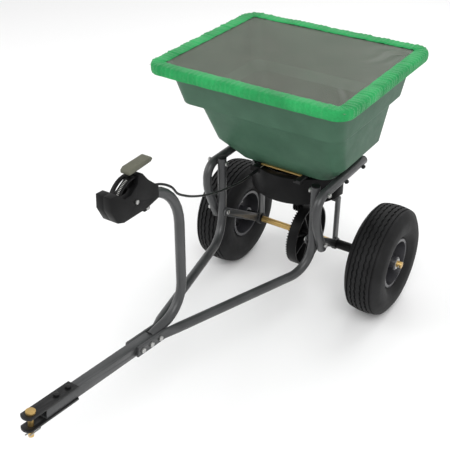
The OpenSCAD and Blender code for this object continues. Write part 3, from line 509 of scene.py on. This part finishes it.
@dataclass
class Tyre:
    """A turf tyre with zigzag ribs, open towards its rim."""

    side: str
    body: str
    radius: float = 165 * MM
    half: float = 58 * MM
    mid: float = 118 * MM
    crown: float = 150 * MM
    wall: float = 7 * MM
    turns: int = 180
    zigzags: int = 45

    def _outline(self) -> list[tuple[float, float, float]]:
        """Draws half of the tyre's section.

        Returns:
            Points as distance from the axle, distance from the wheel's middle, and how far
            the point swings with the zigzag.
        """
        crown_centre = self.radius - self.crown
        groove = 4.5 * MM
        tread = []
        shoulder = 41.0
        marks = (
            (0.0, 0, 0), (5.6, 0, 1), (6.4, 1, 1), (9.8, 1, 1), (10.6, 0, 1),
            (19.0, 0, -1), (19.8, 1, -1), (23.4, 1, -1), (24.2, 0, -1),
            (32.0, 0, 0), (32.8, 0.8, 0), (36.2, 0.8, 0), (37.0, 0, 0), (shoulder, 0, 0),
        )
        for across, cut, swing in marks:
            x = across * MM
            high = crown_centre + math.sqrt(self.crown**2 - x * x) - cut * groove
            if across >= shoulder:
                high -= 0.6 * MM
            tread.append((high, x, swing * 1.6 * MM))
        wall = []
        for step in range(1, 15):
            turn = math.radians(44 - step * 6.9)
            out = 0.9 * MM if step in (4, 9) else 0.0
            reach = self.half - 0.9 * MM + out
            wall.append((self.mid + reach * math.sin(turn), reach * math.cos(turn), 0.0))
        bead = [(71.2 * MM, 33.5 * MM, 0.0), (70.2 * MM, 31.0 * MM, 0.0), (70.2 * MM, 19.5 * MM, 0.0)]
        inner = []
        for step in range(0, 12):
            turn = math.radians(-62 + step * 13.5)
            reach = self.half - self.wall
            high = min(self.mid + reach * math.sin(turn), self.radius - 12 * MM)
            inner.append((high, reach * math.cos(turn), 0.0))
        return tread + [p for p in wall if p[0] > 72 * MM] + bead + [p for p in inner if p[1] > 1 * MM]

    def build(self) -> bpy.types.Object:
        """Turns the section round the axle and dresses it."""
        low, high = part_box(f"{self.side}_tyre")
        centre = (low + high) / 2
        half = self._outline()
        ring = half + [(r, -x, -s) for r, x, s in reversed(half[1:])]
        count = len(ring)
        points, faces = [], []
        for turn in range(self.turns):
            angle = 2 * math.pi * turn / self.turns
            phase = (turn * self.zigzags / self.turns) % 1
            swing = abs(phase * 4 - 2) - 1
            for r, x, s in ring:
                points.append((centre.x + x + abs(s) * swing * (1 if x * s >= 0 else -1),
                               centre.y + r * math.cos(angle), centre.z + r * math.sin(angle)))
            after = (turn + 1) % self.turns
            for i in range(count):
                j = (i + 1) % count
                faces.append((turn * count + i, turn * count + j, after * count + j, after * count + i))
        piece = smooth(own_mesh(f"{self.side}_tyre_rubber", points, faces), 30)
        return finish_piece(piece, self.body, TYRE_RUBBER, [f"{self.side}_tyre"])


@dataclass
class Wheel:
    """A tyre on its two rim halves, with hub, bolts and valve."""

    side: str
    body: str

    def build(self) -> None:
        """Builds the tyre and softens the metal round it."""
        Tyre(self.side, self.body).build()
        for part, finish, radius in (
            ("outer_rim", RIM_PAINT, 1.4 * MM),
            ("inner_rim", RIM_PAINT, 1.4 * MM),
            ("hub", RIM_PAINT, 1.0 * MM),
            ("rim_bolts", BRIGHT_ZINC, 0.5 * MM),
            ("valve", TYRE_RUBBER, 0.5 * MM),
        ):
            Softened(f"{self.side}_{part}", finish, radius).build()


@dataclass
class Cover:
    """The stretch cover: a gathered band that hugs the lip, and a net drawn tight inside it."""

    corner: float = 48 * MM
    hem: float = 34 * MM
    roll: float = 9 * MM
    gathers: int = 150

    def _loop(self, low: Vector, high: Vector, inset: float, count: int) -> list[tuple[Vector, Vector]]:
        """Walks round a rounded rectangle at even steps.

        Args:
            low: The rectangle's low corner.
            high: The rectangle's high corner.
            inset: How far inside it the walk goes.
            count: How many steps there are.

        Returns:
            Each step's place and its outward direction.
        """
        r = self.corner - inset
        half_x = (high.x - low.x) / 2 - inset
        half_y = (high.y - low.y) / 2 - inset
        mid = (low + high) / 2
        lengths = [2 * (half_y - r), math.pi * r / 2, 2 * (half_x - r), math.pi * r / 2] * 2
        total = sum(lengths)
        walk = []
        for step in range(count):
            along = total * step / count
            leg = 0
            while along > lengths[leg]:
                along -= lengths[leg]
                leg += 1
            quarter = leg // 2
            share = along / lengths[leg]
            turn = Matrix.Rotation(math.pi / 2 * quarter, 3, "Z")
            a, b = (half_x, half_y) if quarter % 2 == 0 else (half_y, half_x)
            if leg % 2 == 0:
                place, out = Vector((a, (2 * share - 1) * (b - r), 0)), Vector((1, 0, 0))
            else:
                angle = share * math.pi / 2
                out = Vector((math.cos(angle), math.sin(angle), 0))
                place = Vector((a - r, b - r, 0)) + r * out
            walk.append((turn @ place + Vector((mid.x, mid.y, 0)), turn @ out))
        return walk

    def _band(self) -> bpy.types.Object:
        """Sweeps the band's folded section round the lip, with a gather at every stitch."""
        low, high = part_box("cover_band")
        top, foot = high.z, low.z + self.roll
        section = [
            (-self.hem, top - 5.6 * MM), (-self.hem + 3 * MM, top - 3.2 * MM), (-22 * MM, top - 2.4 * MM),
            (-12 * MM, top - 1.8 * MM), (-4 * MM, top - 1.6 * MM), (2.5 * MM, top - 3.4 * MM),
            (4.8 * MM, top - 8 * MM), (5.2 * MM, top - 15 * MM), (4.6 * MM, top - 22 * MM),
            (3.9 * MM, foot + 4 * MM), (3.2 * MM, foot + 0.6 * MM), (1.2 * MM, foot + 2.0 * MM),
            (0.9 * MM, top - 18 * MM), (0.5 * MM, top - 7.6 * MM), (-10 * MM, top - 5.6 * MM),
        ]
        count = self.gathers * 8
        walk = self._loop(low, high, 6 * MM, count)
        points, faces = [], []
        for step, (place, out) in enumerate(walk):
            fold = math.sin(2 * math.pi * step * self.gathers / count)
            drift = noise.noise(Vector((place.x * 22, place.y * 22, 0.0)))
            bulge = noise.noise(Vector((place.x * 60, place.y * 60, 7.0)))
            for number, (along, height) in enumerate(section):
                outer = number < 10
                swell = (0.8 * fold * (0.5 + 0.5 * drift) + 1.3 * drift + 1.5 * bulge) * MM if outer else 0.0
                lift = swell if number < 6 else 0.0
                push = swell if 5 <= number < 10 else 0.0
                rise = 1.4 * MM * drift if 8 <= number < 12 else 0.0
                points.append(place + out * (along + push) + Vector((0, 0, height + lift + max(rise, 0.0))))
            after = (step + 1) % count
            for i in range(len(section)):
                j = (i + 1) % len(section)
                n = len(section)
                faces.append((step * n + i, step * n + j, after * n + j, after * n + i))
        piece = smooth(own_mesh("cover_band_cloth", points, faces), 60)
        return finish_piece(piece, "cover", BAND_GREEN, ["cover_band"])

    def _pull(self, x: float, y: float, half_x: float, half_y: float) -> float:
        """Finds how high the creases that run in from the four corners stand at a place.

        Args:
            x: How far the place is from the net's middle, across.
            y: How far it is from the net's middle, front to back.
            half_x: Half of the net's width.
            half_y: Half of the net's depth.

        Returns:
            The crease's height there.
        """
        near_x, near_y = half_x - abs(x), half_y - abs(y)
        away = math.hypot(near_x, near_y)
        inside = min(1.0, max(0.0, (min(near_x, near_y) - self.hem) / (12 * MM)))
        bearing = math.atan2(near_y, near_x)
        fade = inside * math.exp(-((away - 60 * MM) / (110 * MM)) ** 2)
        turned = bearing + 0.6 * noise.noise(Vector((x * 9, y * 9, 4.0)))
        return 2.2 * MM * fade * (math.sin(17 * turned) * 0.6 + math.sin(9 * turned + 1.3) * 0.6 - 0.5)

    def _net(self) -> bpy.types.Object:
        """Draws the net tight from lip to lip, with a few pulled creases."""
        low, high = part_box("cover_sheet")
        mid = (low + high) / 2
        half_x, half_y = (high.x - low.x) / 2 - 2 * MM, (high.y - low.y) / 2 - 2 * MM
        across, thick = 120, 0.5 * MM
        points, faces = [], []
        for layer in (0, 1):
            for j in range(across + 1):
                for i in range(across + 1):
                    u, v = 2 * i / across - 1, 2 * j / across - 1
                    flat_u = u * math.sqrt(1 - 0.018 * v * v)
                    flat_v = v * math.sqrt(1 - 0.018 * u * u)
                    edge = min(1.0, (1 - max(abs(u), abs(v))) * 4)
                    crease = 0.5 * MM * edge * noise.noise(Vector((u * 3 + v * 4, v * 9 - u * 6, 2.0)))
                    crease += self._pull(u * half_x, v * half_y, half_x, half_y)
                    height = high.z - 1.1 * MM + crease - (thick if layer else 0.0)
                    points.append((mid.x + half_x * flat_u, mid.y + half_y * flat_v, height))
        row = across + 1
        size = row * row
        for j in range(across):
            for i in range(across):
                a = j * row + i
                faces.append((a, a + 1, a + row + 1, a + row))
                faces.append((size + a, size + a + row, size + a + row + 1, size + a + 1))
        rim = [i for i in range(row)] + [j * row + across for j in range(1, row)]
        rim += [across * row + i for i in range(across - 1, -1, -1)]
        rim += [j * row for j in range(across - 1, 0, -1)]
        for k, a in enumerate(rim):
            b = rim[(k + 1) % len(rim)]
            faces.append((a, size + a, size + b, b))
        piece = smooth(own_mesh("cover_net", points, faces), 50)
        return finish_piece(piece, "cover", NET_GREY, ["cover_sheet"])

    def build(self) -> None:
        band = self._band()
        net = self._net()


@dataclass
class ControlCable:
    """The cable's black casing from the control head to the ferrule at the gate."""

    def build(self) -> bpy.types.Object:
        """Shades the casing's own tube smooth and dresses it."""
        return Softened("control_cable", CABLE_BLACK, 0.0, shading=50).build()


@dataclass
class RateTicks:
    """Raised marks beside the slot of the rate scale, one for each setting."""

    BRICK = ((0, 1, 2, 3), (7, 6, 5, 4), (0, 4, 5, 1), (1, 5, 6, 2), (2, 6, 7, 3), (3, 7, 4, 0))

    marks: int = 11
    reach: float = 56 * MM
    length: float = 5 * MM
    width: float = 1.1 * MM

    def build(self) -> bpy.types.Object:
        """Lays the marks along the scale's arc, on the machine's left of the slot."""
        low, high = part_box("lever_pivot")
        centre = (low + high) / 2
        points, faces = [], []
        for number in range(self.marks):
            turn = math.radians(-14 - 38 * number / (self.marks - 1))
            out = Vector((0, math.sin(turn), math.cos(turn)))
            along = Vector((0, math.cos(turn), -math.sin(turn)))
            base = centre + out * (self.reach - 0.2 * MM) + Vector((6.4 * MM, 0, 0))
            first = len(points)
            for lift in (0, 0.45 * MM):
                for x, y in ((0, -1), (1, -1), (1, 1), (0, 1)):
                    shift = Vector((self.length * x, 0, 0)) + along * (self.width / 2 * y)
                    points.append(base + out * lift + shift)
            for corners in self.BRICK:
                faces.append(tuple(first + c for c in corners))
        return finish_piece(own_mesh("rate_ticks", points, faces), "chassis", TICK_WHITE)


@dataclass
class Machine:
    """The whole spreader."""

    metalwork: tuple[tuple[str, Finish, float], ...] = (
        ("tow_bar", FRAME_PAINT, 1.6 * MM),
        ("left_side_tube", FRAME_PAINT, 0.4 * MM),
        ("right_side_tube", FRAME_PAINT, 0.4 * MM),
        ("left_hopper_rail", FRAME_PAINT, 0.3 * MM),
        ("right_hopper_rail", FRAME_PAINT, 0.3 * MM),
        ("control_post", FRAME_PAINT, 0.3 * MM),
        ("left_axle_arm", FRAME_PAINT, 0.6 * MM),
        ("right_axle_arm", FRAME_PAINT, 0.6 * MM),
        ("gear_bracket", FRAME_PAINT, 0.8 * MM),
        ("gate_guides", STRAP_PAINT, 0.6 * MM),
        ("upper_hitch_strap", STRAP_PAINT, 0.7 * MM),
        ("lower_hitch_strap", STRAP_PAINT, 0.7 * MM),
        ("frame_bolts", BRIGHT_ZINC, 0.5 * MM),
        ("hopper_bolts", STRAP_PAINT, 0.5 * MM),
        ("hitch_bolts", STRAP_PAINT, 0.5 * MM),
        ("clamp_screw", BRIGHT_ZINC, 0.4 * MM),
        ("lever_pivot", BRIGHT_ZINC, 0.4 * MM),
        ("axle_rod", YELLOW_ZINC, 0.8 * MM),
        ("drive_pins", BRIGHT_ZINC, 0.3 * MM),
        ("axle_retainers", BRIGHT_ZINC, 0.3 * MM),
        ("disc_shaft", BRIGHT_ZINC, 0.6 * MM),
        ("agitator", BRIGHT_ZINC, 0.3 * MM),
        ("gate_plate", YELLOW_ZINC, 0.4 * MM),
        ("gate_wire", BRIGHT_ZINC, 0.0),
        ("hitch_pin", YELLOW_ZINC, 0.8 * MM),
        ("hairpin", BRIGHT_ZINC, 0.0),
    )
    mouldings: tuple[tuple[str, Finish, float], ...] = (
        ("tube_caps", BLACK_PLASTIC, 1.0 * MM),
        ("left_axle_bush", BLACK_PLASTIC, 0.5 * MM),
        ("right_axle_bush", BLACK_PLASTIC, 0.5 * MM),
        ("lower_shaft_bush", BLACK_PLASTIC, 0.4 * MM),
        ("upper_shaft_bush", BLACK_PLASTIC, 0.4 * MM),
        ("cable_anchor", BLACK_PLASTIC, 0.5 * MM),
        ("deflector", BLACK_PLASTIC, 0.6 * MM),
        ("left_control_shell", BLACK_PLASTIC, 1.6 * MM),
        ("right_control_shell", BLACK_PLASTIC, 1.6 * MM),
        ("rate_scale", BLACK_PLASTIC, 0.8 * MM),
        ("post_clamp", BLACK_PLASTIC, 0.8 * MM),
        ("rate_lever", BLACK_PLASTIC, 1.0 * MM),
        ("lever_grip", GRIP_GREY, 2.0 * MM),
        ("axle_spacers", BLACK_PLASTIC, 0.6 * MM),
        ("crown_gear", GEAR_PLASTIC, 0.3 * MM),
        ("pinion", GEAR_PLASTIC, 0.2 * MM),
        ("spinning_disc", GEAR_PLASTIC, 0.6 * MM),
    )

    def build(self) -> None:
        """Builds every sub-assembly in order."""
        for node, finish, radius in self.metalwork + self.mouldings:
            Softened(node, finish, radius).build()
        Softened("hopper", HOPPER_GREEN, 5.0 * MM, angle=20.0, steps=3, shading=40).build()
        Wheel("left", "idle_wheel").build()
        Wheel("right", "drive_axle").build()
        Cover().build()
        ControlCable().build()
        RateTicks().build()


def main() -> None:
    """Builds the stage and the machine."""
    Stage().build()
    Machine().build()


if __name__ == "__main__":
    main()
